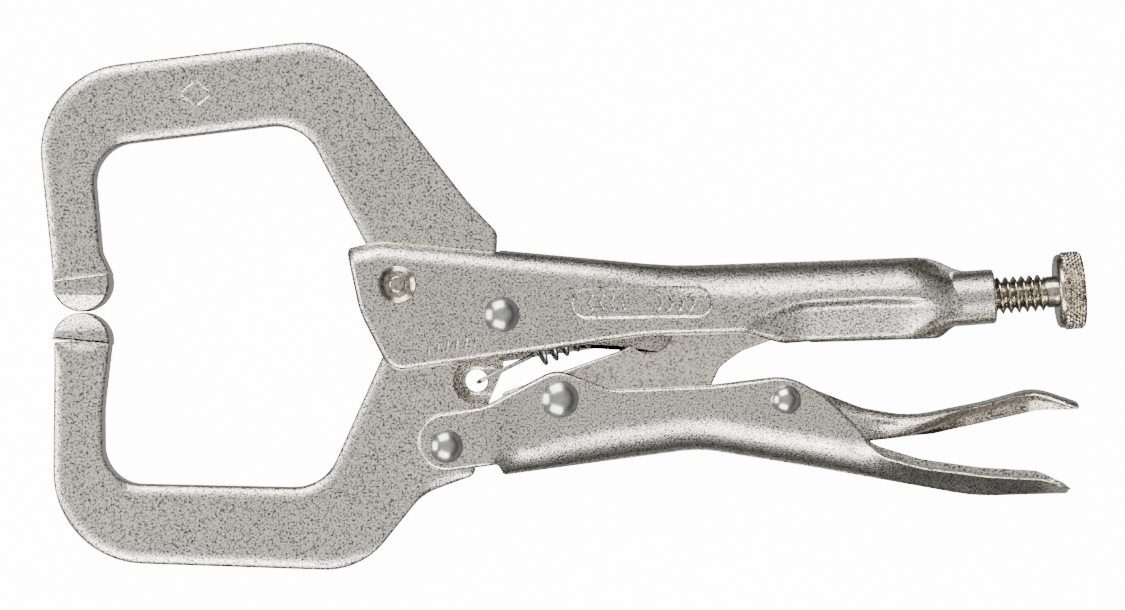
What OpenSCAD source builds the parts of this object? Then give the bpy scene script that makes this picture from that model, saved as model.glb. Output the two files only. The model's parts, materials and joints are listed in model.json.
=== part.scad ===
// Locking pliers with deep C-shaped jaws, nominal 150 mm size.
// The tool lies flat: +X runs along it to the adjusting knob, +Y to the fixed jaw, and +Z up
// along its pivots. The origin is the middle of its footprint, on the surface it lies on.
// The jaws are closed and the toggle is locked.

/* [Jaws] */
// Thickness of the jaw bars
jaw_t = 6.4; // [5.6:0.1:6.4]
// Thickness of the pads at the jaw tips
pad_t = 8.4; // [7:0.1:9.6]
// Radius of the pads at the jaw tips
pad_r = 4.15; // [4.05:0.05:4.15]
// Thickness of the ear that the spring hooks into
ear_t = 3.4; // [2.4:0.1:4]
// Radius of the spring hole in that ear
ear_hole_r = 1.6; // [1.2:0.1:1.6]

/* [Handles] */
// Thickness of the folded sheet of both handles
sheet_t = 1.8; // [1.2:0.1:2]
// Gap between handle walls where they hold a jaw
jaw_gap = 6.6; // [6.6:0.1:6.8]
// Gap between the lever's walls where they hold the link
link_gap = 5.4; // [5.4:0.1:5.6]
// Thickness of the toggle link
link_t = 5.0; // [4:0.1:5.2]
// Radius of the link's nose, which bears on the screw
nose_r = 4.0; // [3.6:0.1:4]

/* [Release lever] */
// Sheet thickness of the release lever
release_sheet_t = 1.2; // [0.8:0.1:1.4]
// Width of the release lever between the lever's walls
release_w = 5.2; // [4.6:0.1:5.2]
// Width of the release lever at its finger end
release_end_w = 8.4; // [6:0.1:9]

/* [Adjusting screw] */
// Tilt of the screw from the X axis, in degrees
screw_tilt = 4.3; // [3.8:0.1:4.8]
// Outer radius of the thread
thread_r = 2.72; // [2.5:0.01:2.72]
// Radius of the collar that the screw turns in
collar_r = 4.0; // [3.8:0.05:4.1]
// Radius of the knurled knob
knob_r = 5.7; // [5:0.05:5.8]
// Length of the knurled knob
knob_l = 4.0; // [3.4:0.1:4.1]

/* [Rivets] */
// Radius of the main rivets' shanks
rivet_r = 1.7; // [1.4:0.05:1.8]
// Height of a rivet's domed head
head_h = 1.2; // [0.8:0.1:1.2]

/* [Spring] */
// Outer radius of the spring's coil
coil_r = 2.25; // [1.8:0.05:2.25]
// Radius of the spring's wire
wire_r = 0.3; // [0.2:0.05:0.35]

/* [Hidden] */
$fn = 48;
arc_step = 12;      // largest turn between two points of a rounded corner, in degrees
slack = 0.05;       // radial clearance of a pin in the piece that turns on it
seat = 0.02;        // radial clearance of a pin in the walls that hold it
past = 1;           // how far a cut runs past the surface it opens
far = 20;           // how far a cut runs clear of the whole tool

jaw_pivot = [-8.7, -1.4];        // moving jaw on the fixed handle
lever_pivot = [-16.7, -20.4];    // lever on the moving jaw
link_pivot = [-0.3, -13.6];      // toggle link on the lever
release_pivot = [32.4, -13.7];   // release lever on the lever
nose = [29.9, -1.2];             // link's nose, in front of the screw's tip
stake = [-23.8, 3.0];            // flush rivet that holds the fixed jaw
ear_hole = [-12.4, -11.0];
fixed_pad = [-69.6, 3.15];
moving_pad = [-69.6, -5.25];

handle_w = jaw_gap + 2 * sheet_t;
lever_w = link_gap + 2 * sheet_t;
mid_z = handle_w / 2 + head_h;   // height of the tool's middle plane
middle = [0.286, -0.149];        // middle of the footprint, where the outlines are laid out

// Places along the screw, measured from the nose
tip_s = nose_r + 1.6;
collar_s = 27.9;
collar_end_s = 33.5;
neck_s = 40.6;
knob_s = 42.0;
neck_r = thread_r - 0.4;
barrel_bore_r = thread_r + 0.7;
barrel_x = 36.5;                 // where the handle closes round the screw

// Corners are [x, y, radius].
fixed_jaw_outline = [
    [-73.7, 3.2, 0], [-76.9, 33.4, 12.8], [-32.3, 38.9, 12.0], [-13.7, 15.1, 6], [-9.4, 10.6, 1.6],
    [-9.6, 4.4, 1.5], [-24.0, -1.4, 3.2], [-27.9, 1.6, 2.6], [-27.7, 7.3, 2.5],
    [-37.7, 26.5, 7.0], [-68.3, 22.8, 5.8], [-66.9, 7.6, 3.0], [-65.5, 4.6, 0], [-65.5, 3.2, 0]
];
moving_jaw_outline = [
    [-73.6, -5.3, 0], [-65.5, -5.3, 0], [-66.6, -15.0, 20], [-66.5, -25.9, 5.6],
    [-34.6, -26.6, 7.0], [-24.7, -4.5, 2.5], [-10.1, 2.4, 0], [-5.2, 0.5, 0], [-8.5, -5.2, 0],
    [-8.5, -9.3, 1.2], [-11.9, -17.2, 1.5], [-12.7, -24.7, 1.2], [-20.1, -27.4, 7.3],
    [-29.1, -38.6, 11.0], [-73.9, -37.1, 13.4]
];
handle_outline = [
    [-31.3, 8.5, 0.6], [-26.5, 9.6, 6], [16.0, 5.7, 60], [53.5, 6.9, 6], [57.6, 5.3, 1.5],
    [58.4, 5.2, 0], [58.4, -2.8, 0], [57.4, -2.8, 1.5], [54.0, -4.9, 3], [32.0, -5.6, 4],
    [26.5, -4.1, 8], [12.0, -4.5, 30], [-24.8, -9.8, 3.3], [-29.3, -1.0, 14]
];
handle_hollow = [
    [-40, far, 0], [-9.0, far, 0], [-9.0, 6.2, 0], [16, 4.0, 30], [barrel_x, 4.6, 0],
    [barrel_x, -far, 0], [-40, -far, 0]
];
handle_plan = [[-40, 1], [46, 1], [57.6, 0.79], [70, 0.79]];    // x, share of the half width
lever_outline = [
    [-20.2, -16.7, 3.5], [-11.0, -14.6, 8], [-0.8, -9.2, 4.8], [7.2, -12.2, 6], [22.0, -11.6, 20],
    [33.2, -10.2, 8], [38.6, -13.5, 6], [46.0, -21.8, 5], [58.0, -24.5, 30],
    [73.6, -26.0, 0.4], [73.4, -27.4, 0.6], [60.0, -27.8, 30], [36.0, -23.5, 30], [20.0, -20.9, 20],
    [-8.4, -24.7, 0.5], [-9.3, -23.1, 0.5], [-13.0, -23.6, 2], [-20.2, -24.6, 3.5]
];
lever_hollow = [
    [-40, 0, 0], [80, 0, 0], [80, -25.8, 0], [60.0, -26.0, 20], [36.0, -21.7, 20],
    [20.0, -19.1, 20], [-9.0, -22.9, 0], [-9.0, -40, 0], [-40, -40, 0]
];
link_outline = [
    [-8.8, -12.8, 0.6], [8.0, -6.8, 0], [9.9, -5.9, 1], [16.2, -2.4, 1.5], [28.0, 2.4, 3],
    [29.9, -1.2, 0], [30.5, -5.1, 0], [26.0, -6.7, 6], [22.9, -9.0, 3], [20.2, -14.8, 1.5],
    [2.0, -18.4, 5], [-7.9, -16.9, 3]
];
notch = [12.7, -3.7];
notch_r = 3.4;
release_outline = [
    [20.0, -17.2, 0.4], [25.2, -16.8, 2], [30.2, -11.0, 2.4], [34.6, -11.4, 2],
    [44.0, -15.4, 8], [51.5, -16.1, 12], [65.5, -12.2, 8], [71.3, -12.5, 4], [74.9, -14.4, 0.4],
    [74.6, -15.4, 0.4], [68.5, -15.5, 10], [54.0, -18.8, 12], [44.0, -19.8, 4],
    [36.0, -17.6, 4], [28.0, -17.9, 4], [20.0, -18.8, 0.4]
];
release_hollow = [
    [40.0, -40, 0], [40.0, -16.9, 1], [51.5, -17.3, 12], [65.5, -13.4, 8], [72.0, -13.8, 2],
    [80.0, -16.4, 0], [80, -40, 0]
];

// The spring's coil lies between these two points, and its straight ends reach the hooks.
coil_start = [-4.2, -7.2];
coil_end = [12.6, -0.15];
tab = [19.6, 3.0];               // tab under the handle's web that holds the spring's far hook

function unit(v) = v / norm(v);
function turned(v, a) = [v.x * cos(a) - v.y * sin(a), v.x * sin(a) + v.y * cos(a)];
// Points of the arc that rounds corner c between its neighbours p and n
function corner(p, c, n) =
    c[2] == 0 ? [[c.x, c.y]] :
    let (
        u = unit([p.x - c.x, p.y - c.y]),
        v = unit([n.x - c.x, n.y - c.y]),
        half = acos(u * v) / 2,
        centre = [c.x, c.y] + unit(u + v) * c[2] / sin(half),
        start = [c.x, c.y] + u * c[2] / tan(half) - centre,
        sweep = (180 - 2 * half) * (u.x * v.y - u.y * v.x < 0 ? 1 : -1),
        steps = max(2, ceil(abs(sweep) / arc_step))
    )
    [for (i = [0:steps]) centre + turned(start, sweep * i / steps)];
function rounded(corners) =
    let (n = len(corners))
    [for (i = [0:n - 1]) each corner(corners[(i + n - 1) % n], corners[i], corners[(i + 1) % n])];

// Moves what is built round the pivots to the middle of the footprint, lying on its rivets.
module lie() {
    translate([-middle.x, -middle.y, mid_z]) children();
}

module at(p) {
    translate([p.x, p.y, 0]) children();
}

// Flat piece of thickness t about the middle plane, from an outline of corners
module plate(corners, t) {
    linear_extrude(t, center = true) polygon(rounded(corners));
}

// Block as wide in Z as a plan of [x, half width] says
module plan_block(plan) {
    sides = concat(plan, [for (i = [len(plan) - 1:-1:0]) [plan[i].x, -plan[i].y]]);
    rotate([90, 0, 0]) linear_extrude(5 * far, center = true) polygon(sides);
}

module hole(p, r) {
    at(p) cylinder(r = r, h = 2 * far, center = true);
}

// Puts the Z axis along the screw, s in front of the nose's centre.
module along_screw(s) {
    at(nose) rotate([0, 0, screw_tilt]) translate([s, 0, 0]) rotate([0, 90, 0]) children();
}

// Half-round pad at a jaw's tip, cut off along a line from a to b. side is the kept side.
module tip_pad(centre, a, b, side) {
    intersection() {
        at(centre) cylinder(r = pad_r, h = pad_t, center = true);
        linear_extrude(pad_t, center = true)
            polygon([a, b, b + [0, side * 3 * pad_r], a + [0, side * 3 * pad_r]]);
    }
}

// Rivet with a domed head at each end of its grip
module domed_rivet(p, grip, shank_r, head_r) {
    dome = [for (a = [0:15:90]) [head_r * cos(a), grip / 2 + head_h * sin(a)]];
    under = [for (i = [len(dome) - 1:-1:0]) [dome[i].x, -dome[i].y]];
    at(p) rotate_extrude()
        polygon(concat(under, [[shank_r, -grip / 2], [shank_r, grip / 2]], dome));
}

// Profile of the stake's countersunk end: radius and height of the cone
stake_r = 1.9;
stake_head_r = 2.75;
stake_cone_h = 1.2;

// C-shaped half of the mouth, with the stem that the handle holds
module fixed_jaw() {
    color("#b9b6ae") lie() difference() {
        union() {
            plate(fixed_jaw_outline, jaw_t);
            tip_pad(fixed_pad, [-76.7, 3.2], [-62.7, 5.2], -1);
        }
        hole(stake, stake_r + seat);
    }
}

// Lower half of the mouth, with the eye it turns on, the lever's eye and the spring's ear
module moving_jaw() {
    color("#b4b1a9") lie() difference() {
        union() {
            plate(moving_jaw_outline, jaw_t);
            at(jaw_pivot) cylinder(r = 4.1, h = jaw_t, center = true);
            tip_pad(moving_pad, [-76.7, -4.9], [-62.7, -6.1], 1);
        }
        hole(jaw_pivot, rivet_r + slack);
        hole(lever_pivot, rivet_r + slack);
        hole(ear_hole, ear_hole_r);
        for (side = [-1, 1]) translate([0, 0, side * (ear_t + far) / 2]) {
            at(ear_hole) cylinder(r = 3.3, h = far, center = true);
            at(ear_hole + [3.3, 0]) cube([6.6, 5.2, far], center = true);
        }
    }
}

// Sheet folded over the jaws' roots, and drawn in at the back to a barrel for the screw
module fixed_handle() {
    half = handle_w / 2;
    color("#b6b2a8") lie() difference() {
        union() {
            intersection() {
                plate(handle_outline, handle_w);
                plan_block([for (p = handle_plan) [p.x, p.y * half]]);
            }
            along_screw(collar_s) cylinder(r = collar_r, h = collar_end_s - collar_s);
        }
        difference() {
            plate(handle_hollow, jaw_gap);
            translate([tab.x, tab.y + 1.5, 0]) cube([1.4, 5, 3], center = true);
        }
        along_screw(0) cylinder(r = thread_r + slack, h = 2 * far);
        along_screw(0) cylinder(r = barrel_bore_r, h = collar_s - 3);
        hole(jaw_pivot, rivet_r + seat);
        hole(stake, stake_r + seat);
        for (side = [0, 180]) at(stake) rotate([side, 0, 0]) translate([0, 0, half - stake_cone_h])
            cylinder(r1 = stake_r + seat, r2 = stake_head_r + seat, h = stake_cone_h);
    }
}

// Flush rivet that pins the fixed jaw: a dished, countersunk end in each wall
module stake_rivet() {
    half = handle_w / 2;
    dish = [[0, half - 0.8], [1.1, half - 0.8], [stake_head_r, half]];
    side = [[stake_r, half - stake_cone_h]];
    upper = concat(dish, side);
    lower = [for (i = [len(upper) - 1:-1:0]) [upper[i].x, -upper[i].y]];
    color("#a9a59b") lie() at(stake) rotate_extrude() polygon(concat(upper, lower));
}

module jaw_rivet() {
    color("#c9c7c1") lie() domed_rivet(jaw_pivot, handle_w, rivet_r, 2.6);
}

// Lower handle: a folded channel whose front walls straddle the moving jaw
module lever() {
    front = jaw_gap / 2;
    back = link_gap / 2;
    color("#b3b0a6") lie() difference() {
        intersection() {
            union() {
                plate(lever_outline, handle_w);
                at(lever_pivot) cylinder(r = 4.2, h = handle_w, center = true);
            }
            plan_block([[-40, front + sheet_t], [-9, front + sheet_t], [-4.6, back + sheet_t],
                        [80, back + sheet_t]]);
        }
        intersection() {
            plate(lever_hollow, jaw_gap);
            plan_block([[-40, front], [-8.4, front], [-5.2, back], [80, back]]);
        }
        hole(lever_pivot, rivet_r + seat);
        hole(link_pivot, rivet_r + seat);
        hole(release_pivot, rivet_r + seat);
    }
}

module lever_rivet() {
    color("#c9c7c1") lie() domed_rivet(lever_pivot, handle_w, rivet_r, 2.45);
}

// Toggle link from the lever to the screw's tip
module toggle_link() {
    color("#b5ac9a") lie() difference() {
        union() {
            plate(link_outline, link_t);
            at(nose) cylinder(r = nose_r, h = link_t, center = true);
        }
        hole(notch, notch_r);
        hole(link_pivot, rivet_r + slack);
    }
}

module link_rivet() {
    color("#c9c7c1") lie() domed_rivet(link_pivot, lever_w, rivet_r, 2.75);
}

// Finger lever: a tongue in front of its pivot, and behind it a channel open below
module release_lever() {
    half = release_w / 2;
    end_half = release_end_w / 2;
    wall = release_sheet_t;
    color("#b0ada4") lie() difference() {
        intersection() {
            plate(release_outline, release_end_w);
            plan_block([[0, half], [50, half], [70, end_half], [80, end_half]]);
        }
        intersection() {
            plate(release_hollow, release_end_w);
            plan_block([[0, half - wall], [50, half - wall], [70, end_half - wall],
                        [80, end_half - wall]]);
        }
        hole(release_pivot, rivet_r + slack);
    }
}

module release_rivet() {
    color("#c9c7c1") lie() domed_rivet(release_pivot, lever_w, rivet_r, 2.15);
}

// Threaded shank, from its tip in front of the link's nose to the pin in the knob
module adjusting_screw() {
    color("#c4bba6") lie() along_screw(0) rotate_extrude()
        polygon([[0, tip_s], [thread_r - 0.6, tip_s], [thread_r, tip_s + 0.6], [thread_r, neck_s],
                 [neck_r, neck_s + 0.4], [neck_r, knob_s + 1.4], [0, knob_s + 1.4]]);
}

// Knurled knob with a hexagonal socket in its end
module adjusting_knob() {
    round_in = 0.8;
    round_out = 0.4;
    color("#bdb39c") lie() difference() {
        along_screw(knob_s) rotate_extrude()
            polygon([[0, 0], [knob_r - round_in, 0], [knob_r - 0.25, 0.3], [knob_r, round_in],
                     [knob_r, knob_l - round_out], [knob_r - round_out, knob_l], [0, knob_l]]);
        along_screw(knob_s - past) cylinder(r = neck_r + slack, h = 1.5 + past);
        along_screw(knob_s + knob_l - 2) cylinder(r = 2.3, h = 2 + past, $fn = 6);
    }
}

// Straight round wire between two points
module wire(a, b) {
    d = b - a;
    translate(a) rotate([0, acos(d.z / norm(d)), atan2(d.y, d.x)]) cylinder(r = wire_r, h = norm(d));
}

// Extension spring: its coil as one solid, with a hook in the jaw's ear and one at the tab
module return_spring() {
    hook_z = ear_t / 2 + wire_r + 0.1;
    hook = [ear_hole.x + 0.5, ear_hole.y + 0.1];
    axis = unit(coil_end - coil_start);
    start = [coil_start.x, coil_start.y, 0];
    leg_start = coil_start + axis * 0.5;
    leg_end = coil_end - axis * 0.5;
    tab_front = [tab.x - 0.8, tab.y - 0.3];
    color("#55534e") lie() {
        translate(start) rotate([0, 90, atan2(axis.y, axis.x)])
            cylinder(r = coil_r, h = norm(coil_end - coil_start));
        wire([leg_start.x, leg_start.y, hook_z - 0.4], [hook.x, hook.y, hook_z]);
        wire([hook.x, hook.y, hook_z + wire_r], [hook.x, hook.y, -hook_z]);
        wire([leg_end.x, leg_end.y, 0], [tab_front.x, tab_front.y, 0]);
    }
}

fixed_handle();
fixed_jaw();
stake_rivet();
moving_jaw();
jaw_rivet();
lever();
lever_rivet();
toggle_link();
link_rivet();
release_lever();
release_rivet();
adjusting_screw();
adjusting_knob();
return_spring();
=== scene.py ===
import json
import math
import bpy
import bmesh
import numpy as np
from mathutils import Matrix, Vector


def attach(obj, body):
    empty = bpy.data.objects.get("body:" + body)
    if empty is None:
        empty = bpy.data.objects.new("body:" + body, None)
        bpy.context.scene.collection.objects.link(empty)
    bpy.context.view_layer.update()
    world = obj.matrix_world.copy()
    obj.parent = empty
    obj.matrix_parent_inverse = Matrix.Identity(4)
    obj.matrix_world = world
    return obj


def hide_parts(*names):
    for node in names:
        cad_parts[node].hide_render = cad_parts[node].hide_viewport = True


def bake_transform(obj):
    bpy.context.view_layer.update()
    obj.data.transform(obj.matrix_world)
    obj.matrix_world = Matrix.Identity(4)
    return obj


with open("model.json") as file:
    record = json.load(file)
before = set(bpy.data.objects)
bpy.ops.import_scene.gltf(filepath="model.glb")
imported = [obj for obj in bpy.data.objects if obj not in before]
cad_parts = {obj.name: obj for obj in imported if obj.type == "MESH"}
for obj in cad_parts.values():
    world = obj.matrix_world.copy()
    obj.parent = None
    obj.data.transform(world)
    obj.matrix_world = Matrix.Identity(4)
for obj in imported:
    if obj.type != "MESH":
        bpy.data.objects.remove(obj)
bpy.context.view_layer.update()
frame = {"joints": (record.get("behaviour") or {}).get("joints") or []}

# Pieces are laid out in millimetres, as in the CAD: the outlines' own X and Y, with Z = 0 on the
# middle plane. settle() moves them into the row frame at the end.
MM = 0.001
MIDDLE = (0.286, -0.149)     # middle of the footprint, in the outlines' X and Y
JOINTS = {joint["name"]: joint for joint in frame["joints"]}


def pivot(name):
    """A joint's place in the outlines' X and Y."""
    x, y, _ = JOINTS[name]["pos_m"]
    return round(x / MM + MIDDLE[0], 6), round(y / MM + MIDDLE[1], 6)


JAW_PIVOT = pivot("jaw_open")
LEVER_PIVOT = pivot("lever_swing")
LINK_PIVOT = pivot("link_swing")
RELEASE_PIVOT = pivot("release_squeeze")
MID_Z = round(JOINTS["jaw_open"]["pos_m"][2] / MM, 6)    # height of the middle plane
SCREW_AXIS = JOINTS["screw_travel"]["axis"]
SCREW_TILT = math.radians(round(math.degrees(math.atan2(SCREW_AXIS[1], SCREW_AXIS[0])), 3))

NOSE = (29.9, -1.2)          # middle of the link's nose, on the screw's axis
STAKE = (-23.8, 3.0)         # flush rivet that pins the fixed jaw
EAR_HOLE = (-12.4, -11.0)    # hole that the spring hooks into
SPRING_HOOK = (18.7, 2.75)   # spring's far hook, on the tab
COIL = np.array([[-4.2, -7.2, 0.0], [12.6, -0.15, 0.0]])    # where the spring's coil starts and ends

SHEET = 1.8                  # sheet of both handles
JAW_HALF = 3.2               # half thickness of the jaw bars
LINK_HALF = 2.5              # half thickness of the link
HANDLE_HALF = 5.1            # half width of the handle
LEVER_HALF = 4.5             # half width of the lever behind its joggle
SHEET_HOLE = 1.72            # radius of the rivet holes in the handles
BAR_HOLE = 1.75              # radius of the rivet holes in the bars and the release lever
SHANK = 1.7                  # radius of a rivet's shank
COLLAR_BORE = 2.77           # radius of the screw's hole in the collar
COLLAR_S = 27.9              # where the collar stands along the screw, measured from the nose
KNOB_S = 42.0                # where the knob's inner face stands along the screw
PITCH = 1.17                 # thread pitch
WIRE = 0.33                  # radius of the spring's wire
THROUGH = 9                  # half length of a cutter that goes right through
SEEN_WHITE = 16.0            # strength that the camera sees as white
STRAIGHT = 1e3               # stands for the radius of a straight or a hollow stretch
INSIDE = 1e3                 # stands for the distance from the silhouette, well inside it
BAR_EDGE = (2.1, 0.45, 0.4)  # a jaw bar's rounded edge: reach, lean, and its part on the sides facing +X

# Outlines are rows of [X, Y, corner radius], all round.
FIXED_JAW = [
    [-73.7, 3.2, 0.3], [-76.84, 33.4, 12.8], [-32.3, 38.85, 12.0], [-13.7, 15.1, 6], [-9.4, 10.6, 1.6],
    [-9.6, 4.4, 1.5], [-24.0, -1.4, 3.2], [-27.9, 1.6, 2.6], [-27.7, 7.3, 2.5],
    [-37.7, 26.5, 7.0], [-68.3, 22.8, 5.8], [-66.9, 7.6, 3.0], [-65.5, 4.6, 0.3], [-65.5, 3.2, 0.3]
]
MOVING_JAW = [
    [-73.6, -5.3, 0.3], [-65.5, -5.3, 0.3], [-66.6, -15.0, 20], [-66.5, -25.9, 5.6],
    [-34.6, -26.6, 7.0], [-24.7, -4.5, 2.5], [-10.1, 2.4, 2.0], [-5.2, 0.5, 2.0], [-8.5, -5.2, 0.5],
    [-8.5, -9.3, 1.2], [-11.9, -17.2, 1.5], [-12.7, -24.7, 1.2], [-20.1, -27.4, 7.3],
    [-29.1, -38.6, 11.0], [-73.9, -37.1, 13.4]
]
HANDLE = [
    [-31.3, 8.5, 0.6], [-26.5, 9.6, 6], [16.0, 5.7, 60], [53.3, 7.05, 9], [57.6, 5.0, 5.5],
    [60.6, 5.0, 0.2], [60.6, -2.8, 0.2], [57.2, -3.0, 2.6], [54.9, -4.9, 2.6], [32.0, -5.6, 4],
    [26.5, -4.1, 8], [12.0, -4.5, 30], [-24.8, -9.8, 3.3], [-29.3, -1.0, 14]
]
HANDLE_HOLLOW = [
    [-36, 14, 0.5], [-9.0, 14, 0.5], [-9.0, 6.2, 0.8], [16, 4.0, 30], [36.5, 4.6, 0.8],
    [36.5, -14, 0.5], [-36, -14, 0.5]
]
LEVER = [
    [-20.9, -16.1, 4.15], [-11.0, -14.6, 8], [-0.8, -9.2, 4.8], [7.2, -12.2, 6], [22.0, -11.6, 20],
    [33.2, -10.2, 8], [38.6, -13.5, 6], [45.6, -20.4, 5], [52.5, -22.5, 12], [61.0, -23.7, 30],
    [69.6, -24.2, 5], [73.9, -26.2, 0.7], [73.5, -27.4, 0.5], [60.0, -27.8, 30], [36.0, -23.5, 30],
    [20.0, -20.9, 20], [-8.4, -24.7, 0.5], [-9.3, -23.1, 0.5], [-13.0, -23.6, 2], [-20.9, -24.6, 4.15]
]
LEVER_HOLLOW = [
    [-36, -2, 0.5], [72.3, -2, 0.5], [72.3, -26.3, 1.0], [60.0, -26.0, 20], [36.0, -21.7, 20],
    [20.0, -19.1, 20], [-9.0, -22.9, 0.5], [-9.0, -34, 0.5], [-36, -34, 0.5]
]
LINK = [
    [-8.8, -12.8, 0.6], [8.0, -6.8, 0.5], [9.9, -5.9, 1], [16.2, -2.4, 1.5], [28.0, 2.4, 3],
    [29.9, -1.2, 0.5], [30.5, -5.1, 0.5], [26.0, -6.7, 6], [22.9, -9.0, 3], [20.2, -14.8, 1.5],
    [2.0, -18.4, 5], [-7.9, -16.9, 3]
]
RELEASE = [
    [20.0, -17.2, 0.4], [25.2, -16.8, 2], [30.2, -11.0, 2.4], [34.6, -11.4, 2],
    [43.6, -14.9, 8], [50.5, -16.1, 16], [61.0, -14.0, 30], [68.6, -11.9, 7], [74.9, -14.0, 0.6],
    [74.8, -15.3, 0.5], [69.5, -15.3, 10], [54.0, -18.8, 12], [44.0, -19.8, 4],
    [36.0, -17.6, 4], [28.0, -17.9, 4], [20.0, -18.8, 0.4]
]
RELEASE_HOLLOW = [
    [40.0, -34, 0.5], [40.0, -16.7, 1], [50.5, -17.4, 16], [61.0, -15.2, 20], [68.6, -13.1, 5],
    [73.2, -14.6, 0.5], [80.0, -17.4, 0.5], [80, -34, 0.5]
]


# ---------------------------------------------------------------- outlines

def unit(v):
    return v / np.linalg.norm(v)


def corner_arc(before, corner, after, step):
    """Points of the arc that rounds a corner, and its sweep, which is negative on a hollow corner."""
    c = np.array(corner[:2], float)
    u = unit(np.array(before[:2]) - c)
    v = unit(np.array(after[:2]) - c)
    half = math.acos(max(-1, min(1, float(u @ v)))) / 2
    centre = c + unit(u + v) * corner[2] / math.sin(half)
    start = c + u * corner[2] / math.tan(half) - centre
    turn = u[0] * v[1] - u[1] * v[0]
    sweep = (math.pi - 2 * half) * (1 if turn < 0 else -1)
    count = max(2, math.ceil(abs(math.degrees(sweep)) / step))
    points = []
    for i in range(count + 1):
        a = sweep * i / count
        points.append(centre + [start[0] * math.cos(a) - start[1] * math.sin(a),
                                start[0] * math.sin(a) + start[1] * math.cos(a)])
    return points, sweep


def outline(corners, step=5.0, gap=1.0):
    """A closed anticlockwise loop of points, and the convex radius at each.

    Arcs turn by about step degrees a point, and straight stretches have a point about every gap."""
    area = sum(a[0] * b[1] - b[0] * a[1] for a, b in zip(corners, corners[1:] + corners[:1]))
    if area < 0:
        corners = corners[::-1]
    points, radii = [], []
    n = len(corners)
    for i in range(n):
        arc, sweep = corner_arc(corners[i - 1], corners[i], corners[(i + 1) % n], step)
        points += arc
        radii += [corners[i][2] if sweep > 0 else STRAIGHT] * len(arc)
    out, out_r = [], []
    for i in range(len(points)):
        a, b = points[i], points[(i + 1) % len(points)]
        out.append(a)
        out_r.append(radii[i])
        length = np.linalg.norm(b - a)
        extra = int(length / gap) if length > 1.5 * gap else 0
        for k in range(1, extra + 1):
            out.append(a + (b - a) * k / (extra + 1))
            out_r.append(STRAIGHT)
    keep = [i for i in range(len(out)) if np.linalg.norm(out[i] - out[i - 1]) > 1e-3]
    return np.array([out[i] for i in keep]), np.array([out_r[i] for i in keep])


def inward(loop):
    """Inward offset direction at each point of an anticlockwise loop, mitred."""
    ahead = np.roll(loop, -1, 0) - loop
    back = loop - np.roll(loop, 1, 0)
    n1 = np.stack([-ahead[:, 1], ahead[:, 0]], 1)
    n2 = np.stack([-back[:, 1], back[:, 0]], 1)
    n1 /= np.linalg.norm(n1, axis=1)[:, None]
    n2 /= np.linalg.norm(n2, axis=1)[:, None]
    m = n1 + n2
    m /= np.linalg.norm(m, axis=1)[:, None]
    scale = 1 / np.clip((m * n1).sum(1), 0.6, 1)
    return m * scale[:, None]


def limited(loop, radii, wanted, slope=0.8):
    """The wanted reach at each point, cut down at tight corners and changing gently."""
    e = np.minimum(wanted, 0.85 * radii)
    gaps = np.linalg.norm(np.roll(loop, -1, 0) - loop, axis=1)
    for _ in range(2):
        for i in range(len(e)):
            e[i] = min(e[i], e[i - 1] + slope * gaps[i - 1])
        for i in range(len(e) - 1, -1, -1):
            j = (i + 1) % len(e)
            e[i] = min(e[i], e[j] + slope * gaps[i])
    return np.maximum(e, 0.02)


def edge_line(loop, up):
    """The upper or lower edge of a loop as a function of X."""
    ahead = np.roll(loop, -1, 0) - np.roll(loop, 1, 0)
    rising = ahead[:, 0] < 0 if up else ahead[:, 0] > 0
    points = loop[rising]
    points = points[np.argsort(points[:, 0])]
    return lambda x: np.interp(x, points[:, 0], points[:, 1])


def folded_side(loop, up, start):
    """Which points of a loop lie on its folded edge: the upper or the lower one, past start along X."""
    out = -inward(loop)[:, 1]
    return (out > 0.4 if up else out < -0.4) & (loop[:, 0] > start)


# ---------------------------------------------------------------- mesh tools

def link_object(name, data):
    obj = bpy.data.objects.new(name, data)
    bpy.context.scene.collection.objects.link(obj)
    return obj


def new_object(name, verts, faces):
    mesh = bpy.data.meshes.new(name)
    mesh.from_pydata([tuple(map(float, v)) for v in verts], [], faces)
    mesh.validate()
    mesh.update()
    return link_object(name, mesh)


def from_bmesh(name, bm):
    mesh = bpy.data.meshes.new(name)
    bm.to_mesh(mesh)
    bm.free()
    return link_object(name, mesh)


def face_outwards(obj, weld=False):
    """Turns every face outwards, after joining the points that fall together if weld is set."""
    bm = bmesh.new()
    bm.from_mesh(obj.data)
    if weld:
        bmesh.ops.remove_doubles(bm, verts=bm.verts, dist=1e-5)
    bmesh.ops.recalc_face_normals(bm, faces=bm.faces)
    bm.to_mesh(obj.data)
    bm.free()
    return obj


def ring_faces(sides, rings, closed=False):
    """Faces between rings of points, with a cap at each end, or from the last ring to the first."""
    faces = []
    for i in range(rings if closed else rings - 1):
        a, b = i * sides, (i + 1) % rings * sides
        for k in range(sides):
            j = (k + 1) % sides
            faces.append((a + k, a + j, b + j, b + k))
    if not closed:
        faces.append(tuple(range(sides))[::-1])
        faces.append(tuple(range((rings - 1) * sides, rings * sides)))
    return faces


def smooth(a, b, x):
    """0 below a and 1 above b, with a smooth step between them."""
    t = np.clip((x - a) / (b - a), 0, 1)
    return t * t * (3 - 2 * t)


def quarter(d, e):
    """How far a rounded edge of reach e has dropped at distance d from the silhouette."""
    u = np.clip(1 - d / np.maximum(e, 1e-6), 0, 1)
    return 1 - np.sqrt(np.maximum(0, 1 - u * u))


def rim_drop(free, d, reach):
    """Drop of the small rounding on a loop's free edges. Points of the grid, away from them, have none."""
    weight = free if len(d) == len(free) else 0
    return weight * reach * quarter(d, reach)


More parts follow.
